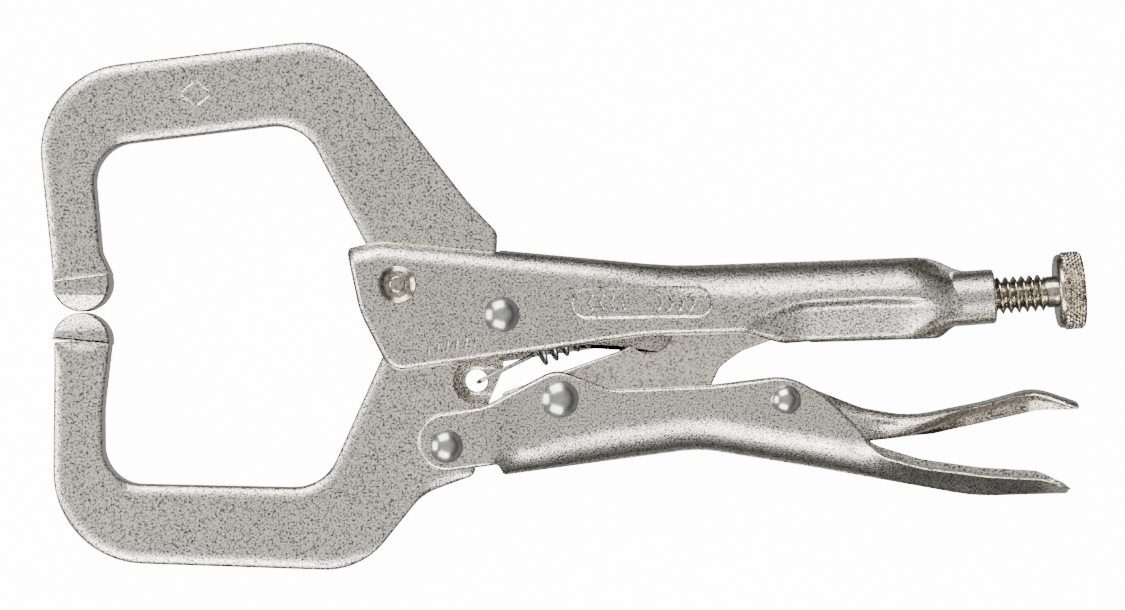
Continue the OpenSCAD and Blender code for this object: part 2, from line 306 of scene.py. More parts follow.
def slab(name, loop, reach, top, grid=None, rows=5):
    """Solid symmetric about Z = 0 over a loop. top(x, y, d) gives its upper surface, d inside the loop.

    Its edge has rows of faces over its reach, and grid holds the X and Y lines that cut its two caps."""
    n = len(loop)
    normal = inward(loop)
    angles = [math.pi / 2 * k / rows for k in range(rows + 1)]
    upper = []
    for a in angles:
        d = reach * (1 - math.cos(a))
        xy = loop + normal * d[:, None]
        z = top(xy[:, 0], xy[:, 1], d)
        upper.append(np.column_stack([xy, z]))
    rings = [r * [1, 1, -1] for r in upper[::-1]] + upper
    bm = bmesh.new()
    rows_v = [[bm.verts.new(p) for p in ring] for ring in rings]
    for a, b in zip(rows_v, rows_v[1:]):
        for i in range(n):
            j = (i + 1) % n
            bm.faces.new((a[i], a[j], b[j], b[i]))
    caps = [bm.faces.new(rows_v[0][::-1]), bm.faces.new(rows_v[-1])]
    if grid:
        border = set(rows_v[0]) | set(rows_v[-1])
        inner = grid_caps(bm, caps, grid)
        fresh = [v for v in inner if v not in border]
        xy = np.array([v.co[:2] for v in fresh])
        z = top(xy[:, 0], xy[:, 1], np.full(len(fresh), INSIDE))
        for v, h in zip(fresh, z):
            v.co.z = h if v.co.z > 0 else -h
    return from_bmesh(name, bm)


def grid_caps(bm, caps, grid):
    """Cuts the two caps along lines of constant X and Y, and returns their vertices."""
    faces = list(caps)
    for axis, values in enumerate(grid):
        normal = [0, 0, 0]
        normal[axis] = 1
        for value in values:
            point = [0, 0, 0]
            point[axis] = value
            whole = [f for f in faces if f.is_valid]
            geom = set(whole)
            for f in whole:
                geom.update(f.edges)
                geom.update(f.verts)
            found = bmesh.ops.bisect_plane(bm, geom=list(geom), dist=1e-5, plane_co=point,
                                           plane_no=normal)
            faces = [g for g in found["geom"] if isinstance(g, bmesh.types.BMFace)]
    return {v for f in faces if f.is_valid for v in f.verts}


def combine(obj, tool, operation="DIFFERENCE"):
    """Applies a Boolean of tool to obj, and removes tool."""
    m = obj.modifiers.new("cut", "BOOLEAN")
    m.object = tool
    m.operation = operation
    m.solver = "MANIFOLD"
    bake(obj)
    bpy.data.objects.remove(tool)
    return obj


def bake(obj):
    """Replaces a piece's mesh with what its modifiers make of it."""
    depsgraph = bpy.context.evaluated_depsgraph_get()
    mesh = bpy.data.meshes.new_from_object(obj.evaluated_get(depsgraph))
    obj.modifiers.clear()
    obj.data = mesh


def join(name, objs):
    """One object out of several, which touch or stand apart."""
    bm = bmesh.new()
    for o in objs:
        bm.from_mesh(o.data)
        bpy.data.objects.remove(o)
    return from_bmesh(name, bm)


def move_points(obj, change):
    """Replaces every point by change(points), an array of rows."""
    co = np.zeros(len(obj.data.vertices) * 3)
    obj.data.vertices.foreach_get("co", co)
    obj.data.vertices.foreach_set("co", change(co.reshape(-1, 3)).ravel())
    obj.data.update()
    return obj


def revolve(name, profile, count=64, shape=None):
    """Solid of revolution about Z from rows of [radius, z]. shape(r, z, angle) can change a ring's radii."""
    angle = np.arange(count) * 2 * math.pi / count
    verts, rings = [], []
    for r, z in profile:
        if r < 1e-6:
            rings.append([len(verts)])
            verts.append((0, 0, z))
            continue
        radius = np.full(count, r) if shape is None else shape(r, z, angle)
        rings.append(list(range(len(verts), len(verts) + count)))
        verts += list(zip(radius * np.cos(angle), radius * np.sin(angle), np.full(count, z)))
    faces = []
    for a, b in zip(rings, rings[1:]):
        for i in range(count):
            j = (i + 1) % count
            if len(a) == 1 and len(b) > 1:
                faces.append((a[0], b[j], b[i]))
            elif len(b) == 1 and len(a) > 1:
                faces.append((a[i], a[j], b[0]))
            elif len(a) > 1:
                faces.append((a[i], a[j], b[j], b[i]))
    return face_outwards(new_object(name, verts, faces))


def along_screw(points, s=0.0):
    """Points built about Z, turned so that Z runs along the screw, s from the nose."""
    x = points[:, 2] + s
    y, z = points[:, 1], -points[:, 0]
    c, t = math.cos(SCREW_TILT), math.sin(SCREW_TILT)
    return np.column_stack([NOSE[0] + x * c - y * t, NOSE[1] + x * t + y * c, z])


def at(obj, place):
    """Moves what is built about Z to a place in X and Y."""
    return move_points(obj, lambda p: p + [place[0], place[1], 0])


def cylinder(name, r, low, high, count=48):
    """Round bar about Z, with count sides."""
    return revolve(name, [[0, low], [r, low], [r, high], [0, high]], count)


def drill(obj, r, place, count=48):
    """Cuts a round hole right through a piece."""
    return combine(obj, at(cylinder("hole", r, -THROUGH, THROUGH, count), place))


def block(name, low, high):
    """Box between two corners."""
    loop = [(low[0], low[1]), (high[0], low[1]), (high[0], high[1]), (low[0], high[1])]
    verts = [(x, y, z) for z in (low[2], high[2]) for x, y in loop]
    faces = [(3, 2, 1, 0), (4, 5, 6, 7), (0, 1, 5, 4), (1, 2, 6, 5), (2, 3, 7, 6), (3, 0, 4, 7)]
    return new_object(name, verts, faces)


def tube(name, path, radius, sides=10, closed=False):
    """Round wire along a path of points, with slightly rounded ends unless its path is closed."""
    path = np.array(path, float)
    tangents = np.gradient(path, axis=0)
    if closed:
        tangents = np.roll(path, -1, 0) - np.roll(path, 1, 0)
    tangents /= np.linalg.norm(tangents, axis=1)[:, None]
    side = np.cross(tangents[0], [0, 0, 1.0])
    if np.linalg.norm(side) < 0.1:
        side = np.cross(tangents[0], [0, 1.0, 0])
    verts = []
    last = len(path) - 1
    for i, (p, t) in enumerate(zip(path, tangents)):
        side = unit(side - t * (side @ t))
        up = np.cross(t, side)
        r = radius * (0.6 if i in (0, last) and not closed else 1)
        for k in range(sides):
            a = 2 * math.pi * k / sides
            verts.append(p + r * (side * math.cos(a) + up * math.sin(a)))
    return face_outwards(new_object(name, verts, ring_faces(sides, len(path), closed)))


def shade(obj, sharp):
    """Smooth shading that keeps edges sharper than an angle in degrees."""
    obj.data.shade_smooth()
    obj.data.set_sharp_from_angle(angle=math.radians(sharp))
    m = obj.modifiers.new("normals", "WEIGHTED_NORMAL")
    m.keep_sharp = True
    m.weight = 80


def in_frame(points):
    """Points in the row frame, in metres."""
    return (points - [MIDDLE[0], MIDDLE[1], -MID_Z]) * MM


def settle(obj, body, nodes, material, sharp=34, ride=True):
    """Moves a finished piece into the row frame, gives it its finish and ties it to the frame."""
    move_points(obj, in_frame)
    shade(obj, sharp)
    obj.data.materials.clear()
    obj.data.materials.append(material)
    if ride:
        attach(obj, body)
    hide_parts(*nodes)
    return obj


# ---------------------------------------------------------------- materials

def node(tree, kind, inputs=None, **values):
    """A new node, with values for its properties and for its unlinked inputs."""
    n = tree.nodes.new(kind)
    for key, value in values.items():
        setattr(n, key, value)
    for key, value in (inputs or {}).items():
        n.inputs[key].default_value = value
    return n


def grey(level):
    return (level, level, level, 1)


def colour_ramp(tree, stops):
    """Colour ramp through rows of (position, colour), the first and the last being its ends."""
    ramp = node(tree, "ShaderNodeValToRGB")
    elements = ramp.color_ramp.elements
    elements[0].position, elements[0].color = stops[0]
    elements[1].position, elements[1].color = stops[-1]
    for position, colour in stops[1:-1]:
        elements.new(position).color = colour
    return ramp


def noise(tree, place, scale, **inputs):
    """The grey of a noise texture with scale cells per metre."""
    texture = node(tree, "ShaderNodeTexNoise", {"Scale": scale, **inputs})
    tree.links.new(place, texture.inputs["Vector"])
    return texture.outputs["Fac"]


def grain_metal(name, dark, light, rough, grain, depth, spread=0.06):
    """Plated metal: fine sparkling grain in colour, gloss and relief.

    grain is its scale per metre, depth the relief's height, and spread how far the gloss varies."""
    material = bpy.data.materials.new(name)
    material.use_nodes = True
    tree = material.node_tree
    link = tree.links.new
    shader = tree.nodes["Principled BSDF"]
    shader.inputs["Metallic"].default_value = 1.0
    place = node(tree, "ShaderNodeTexCoord").outputs["Object"]
    fine = noise(tree, place, grain, Detail=3, Roughness=0.6)
    wide = noise(tree, place, grain * 0.02, Detail=4)
    speckle = colour_ramp(tree, [(0.39, (*dark, 1)), (0.55, (*light, 1))])
    cloud = colour_ramp(tree, [(0.3, grey(0.88)), (0.7, grey(1))])
    tint = node(tree, "ShaderNodeMix", {"Factor": 1.0}, data_type="RGBA", blend_type="MULTIPLY")
    gloss = node(tree, "ShaderNodeMapRange", {"From Min": 0.3, "From Max": 0.7,
                                              "To Min": rough + spread, "To Max": rough - spread})
    relief = node(tree, "ShaderNodeBump", {"Strength": 1.0, "Distance": depth})
    link(fine, speckle.inputs["Fac"])
    link(wide, cloud.inputs["Fac"])
    link(speckle.outputs["Color"], tint.inputs["A"])
    link(cloud.outputs["Color"], tint.inputs["B"])
    link(tint.outputs["Result"], shader.inputs["Base Color"])
    link(fine, gloss.inputs["Value"])
    link(gloss.outputs["Result"], shader.inputs["Roughness"])
    link(fine, relief.inputs["Height"])
    link(relief.outputs["Normal"], shader.inputs["Normal"])
    return material


def bar_metal():
    return grain_metal("satin_nickel_bar", (0.075, 0.062, 0.047), (1.0, 0.93, 0.83),
                       rough=0.26, grain=3500, depth=0.00006)


def sheet_metal():
    return grain_metal("satin_nickel_sheet", (0.095, 0.08, 0.062), (1.0, 0.94, 0.85),
                       rough=0.24, grain=3700, depth=0.00005)


def link_metal():
    return grain_metal("satin_nickel_link", (0.19, 0.16, 0.12), (1.0, 0.925, 0.80),
                       rough=0.30, grain=3700, depth=0.00005)


def rivet_metal():
    return grain_metal("polished_nickel", (0.42, 0.42, 0.41), (0.56, 0.55, 0.53),
                       rough=0.22, grain=1500, depth=0.000012, spread=0.03)


def turned_metal():
    return grain_metal("bright_nickel", (0.23, 0.20, 0.16), (0.60, 0.54, 0.45),
                       rough=0.2, grain=1600, depth=0.00001, spread=0.05)


def wire_metal():
    return grain_metal("dark_spring_wire", (0.22, 0.22, 0.22), (0.55, 0.55, 0.56),
                       rough=0.26, grain=3000, depth=0.00001, spread=0.05)


def floor_material():
    """Pale floor. For other rays than the camera's its light is weaker at a slant, which gives the
    metal its grey bands."""
    material = bpy.data.materials.new("pale_floor")
    material.use_nodes = True
    tree = material.node_tree
    link = tree.links.new
    tree.nodes.clear()
    seen = node(tree, "ShaderNodeEmission", {"Color": grey(1), "Strength": SEEN_WHITE})
    mirrored = node(tree, "ShaderNodeEmission")
    slant = node(tree, "ShaderNodeLayerWeight")
    tone = colour_ramp(tree, [(0.0, grey(0.40)), (0.3, grey(0.40)), (0.5, grey(0.06)),
                              (0.8, grey(0.06)), (0.92, grey(0.30)), (1.0, grey(0.30))])
    link(slant.outputs["Facing"], tone.inputs["Fac"])
    link(tone.outputs["Color"], mirrored.inputs["Color"])
    pale = node(tree, "ShaderNodeBsdfDiffuse", {"Color": grey(0.9)})
    part = node(tree, "ShaderNodeMixShader", {"Fac": 0.12})
    whole = node(tree, "ShaderNodeMixShader")
    ray = node(tree, "ShaderNodeLightPath")
    out = node(tree, "ShaderNodeOutputMaterial")
    link(seen.outputs[0], part.inputs[1])
    link(pale.outputs[0], part.inputs[2])
    link(ray.outputs["Is Camera Ray"], whole.inputs["Fac"])
    link(mirrored.outputs[0], whole.inputs[1])
    link(part.outputs[0], whole.inputs[2])
    link(whole.outputs[0], out.inputs["Surface"])
    return material


# ---------------------------------------------------------------- jaws

def bar_top(half, reach, lean=1.0):
    """Surface of a flat bar with rounded edges, which drop by lean times their reach."""
    return lambda x, y, d: half - lean * reach_at(reach, d) * quarter(d, reach_at(reach, d))


def reach_at(reach, d):
    """The reach at each point of a loop, or its largest value at points of the grid."""
    return reach if len(d) == len(reach) else np.full(len(d), reach.max())


def bar(name, corners, half, edge, lean=1.0, rear=1.0):
    """Flat bar. Its edges that face +X have rear times the reach of the others."""
    loop, radii = outline(corners, 5.0, gap=2.0)
    facing = smooth(0.3, 0.8, -inward(loop)[:, 0])
    reach = limited(loop, radii, edge * (1 - (1 - rear) * facing))
    return slab(name, loop, reach, bar_top(half, reach, lean), rows=7)


def eye(piece, name, centre, half, corner, thickness, edge):
    """Adds a round eye, an outline of four corners that all but meet."""
    (x0, y0), (x1, y1) = np.array(centre) - half, np.array(centre) + half
    loop, _ = outline([[x0, y0, corner], [x1, y0, corner], [x1, y1, corner], [x0, y1, corner]])
    reach = np.full(len(loop), edge)
    return combine(piece, slab(name, loop, reach, bar_top(thickness, reach)), "UNION")


def pad(centre, left_y, right_y, side, breaks):
    """Round pad at a jaw's tip, cut off at the back along a chord between two heights.

    side is 1 where the work is above it. Its faces slope off towards the work past each break line,
    given as rows of (Y, slope)."""
    r, half, edge = 4.15, 4.2, 0.45
    left = math.asin((left_y - centre[1]) / r)
    right = math.asin((right_y - centre[1]) / r)
    first, last = (-math.pi - left, right) if side < 0 else (right, math.pi - left)
    loop = np.array([[centre[0] + r * math.cos(t), centre[1] + r * math.sin(t)]
                     for t in np.linspace(first, last, 60)])
    parts = 8
    chord = [loop[-1] + (loop[0] - loop[-1]) * k / parts for k in range(1, parts)]
    loop = np.vstack([loop, chord])
    reach = limited(loop, np.full(len(loop), 4.0), np.full(len(loop), edge))

    def top(x, y, d):
        z = np.full(len(x), half) - edge * quarter(d, edge)
        for level, slope in breaks:
            z = z - slope * np.maximum(0, side * (y - level))
        return z

    return slab("pad", loop, reach, top, grid=([], [level for level, slope in breaks]))


def fixed_jaw():
    """Upper jaw bar with its pad, the punched diamond and the hole for the flush rivet."""
    jaw = bar("fixed_jaw_bar", FIXED_JAW, JAW_HALF, *BAR_EDGE)
    combine(jaw, pad((-69.6, 3.15), 3.7, 4.7, -1, [(2.4, 0.12), (1.4, 0.3)]), "UNION")
    for k in range(4):
        combine(jaw, tube("stroke", diamond_side(k), 0.28, 8))
    return drill(jaw, 1.95, STAKE)


def diamond_side(k):
    """One side of the small diamond punched in the upper arm, short of its corners."""
    cx, cy, w, h = -53.2, 30.6, 2.3, 1.9
    turn = [(w, 0), (0, h), (-w, 0), (0, -h)]
    a, b = [np.array([cx + x, cy + y, JAW_HALF + 0.1]) for x, y in (turn[k], turn[(k + 1) % 4])]
    return [a + (b - a) * t for t in (0.12, 0.14, 0.5, 0.86, 0.88)]


def moving_jaw():
    """Lower jaw bar with its pad, the eye it turns on, the spring's thinned ear and the lever's hole."""
    jaw = bar("moving_jaw_bar", MOVING_JAW, JAW_HALF, *BAR_EDGE)
    eye(jaw, "hub", JAW_PIVOT, 4.1, 4.05, JAW_HALF - 0.01, 0.3)
    combine(jaw, pad((-69.6, -5.25), -5.0, -5.8, 1, [(-3.7, 0.3)]), "UNION")
    for side in (-1, 1):
        combine(jaw, ear_pocket(side))
    drill(jaw, 1.6, EAR_HOLE)
    for side in (-1, 1):
        cone = revolve("cone", [[0, side * 1.5], [1.58, side * 1.5], [1.95, side * 1.9], [0, side * 1.9]])
        combine(jaw, at(cone, EAR_HOLE))
    drill(jaw, BAR_HOLE, JAW_PIVOT)
    return drill(jaw, BAR_HOLE, LEVER_PIVOT)


def ear_pocket(side):
    """Sloped pocket that thins the spring's ear on one side."""
    corners = [[-15.9, -14.4, 3.3], [-4.0, -14.4, 0.5], [-4.0, -7.6, 0.5], [-15.9, -7.6, 3.3]]
    loop, _ = outline(corners, 5, 2.0)
    normal = inward(loop)
    levels = [(1.7, 1.7), (1.75, 1.5), (2.0, 1.2), (2.5, 0.75), (3.3, 0.0), (6.0, 0.0)]
    verts = [(x, y, side * z) for z, inset in levels for x, y in loop + normal * inset]
    return face_outwards(new_object("pocket", verts, ring_faces(len(loop), len(levels))))


# ---------------------------------------------------------------- handle

def fold_drop(d, deep, high):
    """Drop of a fold at distance d from its silhouette: deep along Y and high along Z."""
    return high * quarter(np.maximum(d, 0), deep)


def arc_drop(d, half, r):
    """Drop of a wide round fold of radius r that reaches the middle plane at its silhouette."""
    run = math.sqrt(r * r - (r - half) ** 2)
    u = np.clip(run - d, 0, run)
    return r - np.sqrt(r * r - u * u)


def screw_y(x):
    """Y of the screw's axis."""
    return NOSE[1] + (x - NOSE[0]) * math.tan(SCREW_TILT)


def handle_width(x, y):
    """Half width of the handle's outside before its edges are rounded.

    Towards the rear the wall steps in below a crease, and draws in to a barrel round the screw."""
    crease = np.interp(x, [20, 24, 29, 35, 45, 54, 60], [-9, -5.4, -1.2, 0.6, 1.2, 1.0, 0.9])
    under = crease - y
    step = smooth(22, 36, x)
    squeeze = 1.15 * step * smooth(-0.2, 1.5, under)
    tilt = 0.20 * step * np.maximum(0, under - 1.5)
    swell = 0.10 * step * smooth(0.2, 1.2, y - crease) * (1 - smooth(46, 52, x))
    body = HANDLE_HALF - squeeze - tilt + swell
    round_r = np.interp(x, [44, 51, 54, 56.5, 58.5, 60.6], [6.4, 5.4, 4.7, 4.2, 4.02, 3.85])
    off = np.clip(np.abs(y - screw_y(x)) / round_r, 0, 0.98)
    neck = round_r * np.sqrt(1 - off * off)
    return body + (np.minimum(neck, HANDLE_HALF) - body) * smooth(48.5, 57, x)


def handle():
    """Folded sheet handle, open below, drawn in at the back to a barrel and a collar."""
    loop, radii = outline(HANDLE, 5, 0.8)
    top_y, low_y = edge_line(loop, True), edge_line(loop, False)
    folded = folded_side(loop, True, -31)
    wanted = np.where(folded, 3.0, 1.0)
    wanted = np.where((loop[:, 0] > 30) & ~folded, 0.8, wanted)
    reach = limited(loop, radii, wanted, 1.2)
    free = np.where(folded, 0.0, 1.0)

    def skin(x, y):
        """Half width with the fold along the top, which is wider behind the pivots."""
        deep = np.interp(x, [-31, 10, 34, 50, 60], [3.3, 3.4, 5.0, 5.2, 4.0])
        depth = np.maximum(top_y(x) - y, 0)
        fold = fold_drop(depth, deep, np.interp(x, [-31, 30, 50], [3.2, 3.4, 3.8]))
        wide = smooth(4, 28, x) * (1 - smooth(47, 55, x))
        return handle_width(x, y) - fold - wide * (arc_drop(depth, HANDLE_HALF, 6.3) - fold)

    def top(x, y, d):
        rim = np.interp(x, [34, 60], [1.0, 1.2])
        return np.maximum(skin(x, y) - rim_drop(free, d, rim), 0.35)

    grid = (np.arange(-31, 58.3, 0.8), np.arange(-9.2, 9.4, 0.3))
    body = slab("handle_body", loop, reach, top, grid, rows=8)
    hollow, hollow_r = outline(HANDLE_HOLLOW, 6, 1.2)
    hollow_reach = limited(hollow, hollow_r, np.full(len(hollow), 0.9))

    def inside(x, y, d):
        z = np.minimum(HANDLE_HALF - SHEET, np.maximum(handle_width(x, y) - SHEET, 2.55))
        return z - 0.9 * quarter(d, 0.9)

    inner_grid = (np.arange(18, 36.4, 1.2), np.arange(-8, 5, 0.9))
    combine(body, slab("hollow", hollow, hollow_reach, inside, inner_grid))
    handle_cuts(body)
    for stroke in handle_marks(skin):
        combine(body, stroke)
    combine(body, collar(), "UNION")

    def far_wall(p):
        """Lets the far wall's lower edge hang a little below the near one's."""
        x, y, z = p.T
        low = smooth(-13, -9, x) * (1 - smooth(18, 26, x)) * (1 - smooth(-3.4, -2.2, z))
        behind = smooth(8.3, 10.3, x) * (1 - smooth(15.3, 17.3, x))
        drop = low * (0.85 + 2.0 * behind)
        return np.column_stack([x, y - drop * (1 - smooth(0.3, 2.4, y - low_y(x))), z])

    return join("handle_shell", [move_points(body, far_wall), spring_tab()])


def handle_cuts(body):
    """The seam under the barrel, the screw's bore, and the rivets' seats and hole."""
    combine(body, block("seam", (36.0, -9, -0.12), (56.0, -3.2, 0.12)))
    bore = revolve("bore", [[0, -2], [3.42, -2], [3.42, 24.9], [COLLAR_BORE, 25.4], [COLLAR_BORE, 40],
                            [0, 40]])
    combine(body, move_points(bore, along_screw))
    for side in (-1, 1):
        low, high = sorted((side * 3.0, side * 7.0))
        combine(body, at(cylinder("seat", 2.78, low, high, 64), STAKE))
    drill(body, SHEET_HOLE, JAW_PIVOT)


def collar():
    """Ring round the screw at the handle's end."""
    profile = [[COLLAR_BORE, -1.2], [3.7, -1.2], [3.9, -0.9], [4.0, -0.6], [4.0, 4.75], [3.95, 4.98],
               [3.84, 5.12], [3.66, 5.2], [3.05, 5.2], [2.9, 5.1], [COLLAR_BORE, 4.95],
               [COLLAR_BORE, -1.2]]
    ring = face_outwards(revolve("collar", profile, 72), weld=True)
    return move_points(ring, lambda p: along_screw(p, COLLAR_S))


def spring_tab():
    """Small tongue under the web that holds the spring's far end."""
    corners = [[18.9, 1.2, 0.5], [20.3, 1.2, 0.5], [20.3, 4.6, 0.2], [18.9, 4.6, 0.2]]
    return bar("tab", corners, 1.5, 0.25)


def handle_marks(skin):
    """Cutters for the plain cartouche with chevrons, and for the row of ticks near the lower edge."""
    strokes = []

    def cutter(points, closed=False):
        """Adds a round groove along points of the wall's surface."""
        x, y = np.array(points, float).T
        strokes.append(tube("stroke", np.column_stack([x, y, skin(x, y) + 0.03]), 0.25, 8, closed))

    x0, x1, y0, y1, r = 1.4, 21.6, -1.9, 2.5, 2.1
    loop, _ = outline([[x0, y0, r], [x1, y0 + 0.3, r], [x1, y1 + 0.1, r], [x0, y1 - 0.1, r]], 12, 0.9)
    cutter(loop, True)
    for k in range(4):
        for end in (-1, 1):
            cx = 11.5 + end * (2.4 + 1.55 * k)
            span = np.linspace(-1, 1, 9)
            cutter([[cx + end * 0.55 - end * 0.55 * abs(t), 0.35 + 1.15 * t] for t in span])
    for k in range(6):
        x = -19.4 + 1.35 * k
        y = -7.35 + 0.20 * (x + 19.4)
        cutter([[x + 0.16 * t, y + t] for t in np.linspace(0, 1.5, 5)])
    return strokes


# ---------------------------------------------------------------- lever and release lever

def lever_width(x):
    """Half width of the lever, which is wider in front, where it clasps the jaw."""
    return LEVER_HALF + (HANDLE_HALF - LEVER_HALF) * (1 - smooth(-10.8, -5.6, x))


def lever():
    """Folded sheet lever, open above, with slanting walls at the rear."""
    loop, radii = outline(LEVER, 5, 0.8)
    top_y, low_y = edge_line(loop, True), edge_line(loop, False)
    folded = folded_side(loop, False, -8.2)
    height = top_y(loop[:, 0]) - low_y(loop[:, 0])
    wanted = np.where(folded, np.minimum(3.4, 0.55 * height), 0.6)
    reach = limited(loop, radii, wanted, 1.2)
    free = np.where(folded, 0.0, 1.0)

    def top(x, y, d):
        """Surface with the fold along the bottom, which turns into a slanting wall at the rear."""
        high = top_y(x) - low_y(x)
        deep = np.minimum(np.interp(x, [-8, 10, 30, 48], [4.6, 5.6, 6.6, 5.0]), high * 1.05)
        web = smooth(-10.2, -7.6, x)
        lift = np.interp(x, [-9, 40, 55, 74], [3.7, 3.9, 4.0, 3.9])
        base = np.maximum(y - low_y(np.maximum(x, -8.3)), 0)
        rear = 3.9 * np.clip(1 - base / np.maximum(high, 0.5), 0, 1) + 0.3 * quarter(base, 0.5)
        fold = fold_drop(base, deep, lift)
        drop = fold + smooth(-6, 8, x) * (arc_drop(base, LEVER_HALF, 6.0) - fold)
        z = lever_width(x) - web * (drop + (rear - drop) * smooth(40, 52, x))
        return np.maximum(z - rim_drop(free, d, 0.6), 0.3)

    grid = (np.arange(-20.5, 73.4, 0.9), np.arange(-27.6, -9.5, 0.55))
    body = slab("lever_body", loop, reach, top, grid, rows=8)
    hollow, hollow_r = outline(LEVER_HOLLOW, 6, 1.2)
    reach_in = limited(hollow, hollow_r, np.full(len(hollow), 0.9))

    def inside(x, y, d):
        return lever_width(x) - SHEET - 1.2 * quarter(d, 0.9)

    inner_grid = (np.arange(-14, 78, 1.4), [])
    combine(body, slab("hollow", hollow, reach_in, inside, inner_grid))
    for place in (LEVER_PIVOT, LINK_PIVOT, RELEASE_PIVOT):
        drill(body, SHEET_HOLE, place)

    def splay(p):
        """Lowers the near wall's upper edge at the rear, so that the inside shows."""
        x, y, z = p.T
        t = np.clip((y - low_y(x)) / np.maximum(top_y(x) - low_y(x), 0.5), 0, 1)
        near = smooth(-3.5, 4.5, z)
        lower = np.interp(x, [42, 47, 52, 58, 66, 72, 73.8], [0, 1.15, 1.05, 0.85, 0.95, 0.85, 0.3])
        return np.column_stack([x, y - lower * t * near, z])

    return move_points(body, splay)


def release_lever():
    """Folded finger lever, solid round its rivet and an open channel behind it."""
    loop, radii = outline(RELEASE, 6, 0.8)
    top_y, low_y = edge_line(loop, True), edge_line(loop, False)
    folded = folded_side(loop, True, 38)
    height = top_y(loop[:, 0]) - low_y(loop[:, 0])
    wanted = np.where(folded, np.minimum(2.2, 0.5 * height), 0.25)
    reach = limited(loop, radii, wanted, 1.2)
    free = np.where(folded, 0.0, 1.0)

    def width(x):
        return np.interp(x, [36, 44, 50, 60, 70, 75], [2.6, 2.7, 2.9, 3.6, 4.2, 4.1])

    def lean(x, y):
        """How far the walls lean in below the fold."""
        return 0.75 * smooth(42, 50, x) * np.maximum(top_y(x) - y - 1.3, 0)

    def top(x, y, d):
        high = np.maximum(top_y(x) - low_y(x), 0.8)
        web = smooth(37, 41, x)
        z = width(x) - web * fold_drop(top_y(x) - y, np.minimum(2.6, high), width(x) * 0.72)
        return np.maximum(z - lean(x, y) - rim_drop(free, d, 0.3), 0.25)

    grid = (np.arange(20.5, 74.6, 0.9), np.arange(-19.6, -11.5, 0.4))
    body = slab("release_body", loop, reach, top, grid, rows=7)
    hollow, hollow_r = outline(RELEASE_HOLLOW, 6, 1.2)
    reach_in = limited(hollow, hollow_r, np.full(len(hollow), 1.2))

    def inside(x, y, d):
        return np.maximum(width(x) - 1.2 - lean(x, y), 0.6) - 0.5 * quarter(d, 1.2)

    inner_grid = (np.arange(41, 79, 1.4), np.arange(-20, -13, 0.6))
    combine(body, slab("hollow", hollow, reach_in, inside, inner_grid))
    drill(body, BAR_HOLE, RELEASE_PIVOT)

    def trim(p):
        """Makes the near wall less tall than the far one towards the rear."""
        x, y, z = p.T
        near = smooth(-1.0, 1.6, z)
        keep = np.interp(x, [49, 58, 66, 72, 75], [1.0, 0.42, 0.42, 0.6, 0.9])
        k = 1 - near * (1 - keep)
        return np.column_stack([x, top_y(x) - (top_y(x) - y) * k, z])

    return move_points(body, trim)


# ---------------------------------------------------------------- link, rivets, screw, spring

def toggle_link():
    """Flat link with a round nose, and a round notch in its upper edge."""
    link = bar("link_plate", LINK, LINK_HALF, 0.35)
    eye(link, "nose", NOSE, 4.0, 3.95, LINK_HALF - 0.01, 0.35)
    drill(link, 3.4, (12.7, -3.7), 64)
    return drill(link, BAR_HOLE, LINK_PIVOT)


def rivet(name, place, grip, head_r):
    """Rivet with a polished dome at each end, above a narrow upright rim."""
    rim, rise = 0.07, 1.12
    ball = (head_r ** 2 + rise ** 2) / (2 * rise)
    edge = math.asin(head_r / ball)
    dome = [[head_r - 0.1, grip / 2], [head_r, grip / 2 + 0.03]]
    for k in range(19):
        a = edge * (1 - k / 18)
        dome.append([ball * math.sin(a), grip / 2 + rim + ball * math.cos(a) - ball + rise])
    dome[-1][0] = 0
    under = [[r, -z] for r, z in dome[::-1]]
    profile = under + [[SHANK, -grip / 2], [SHANK, grip / 2]] + dome
    return at(revolve(name, profile, 56), place)


def stake_rivet():
    """Flush rivet: a dished end with turning marks round a small flat, in each wall."""
    half, flat, dish = HANDLE_HALF, 1.15, 2.55
    ring = [[0, half - 0.86], [0.85, half - 0.84], [1.0, half - 0.8], [1.12, half - 0.86]]
    for k in range(25):
        t = k / 24
        ring.append([flat + (dish - flat) * t, half - 0.84 + 0.78 * t ** 1.25 + 0.012 * (-1) ** k])
    ring += [[2.62, half - 0.02], [2.72, half], [2.76, half - 0.08], [2.76, half - 0.6], [1.9, half - 1.6]]
    under = [[r, -z] for r, z in ring[::-1]]
    return at(revolve("stake", ring + under, 64), STAKE)


def thread_radius(s, angle):
    """Radius of the thread's flank, root or crest at a place along the screw and an angle round it."""
    f = (s / PITCH - angle / (2 * math.pi)) % 1
    h = np.clip((1 - 2 * np.abs(f - 0.5)) * 1.4 - 0.14, 0, 1)
    return 1.95 + 0.77 * h


def adjusting_screw():
    """Threaded shank, measured from the nose, with a plain pin at its end for the knob."""
    tip, neck, end, threaded = 5.6, 40.6, 43.4, 2.5
    profile = [[0, tip], [1.5, tip], [2.0, tip + 0.3]]
    s = tip + 0.4
    while s < neck:
        profile.append([threaded, s])
        s += 0.09
    profile += [[2.32, neck + 0.2], [2.32, end], [0, end]]

    def shape(r, z, angle):
        if r != threaded:
            return np.full(len(angle), r)
        ease = smooth(0, 0.8, z - tip) * smooth(0, 0.5, neck + 0.1 - z)
        return 2.1 + (thread_radius(z, angle) - 2.1) * ease

    return move_points(revolve("screw", profile, 64, shape), along_screw)


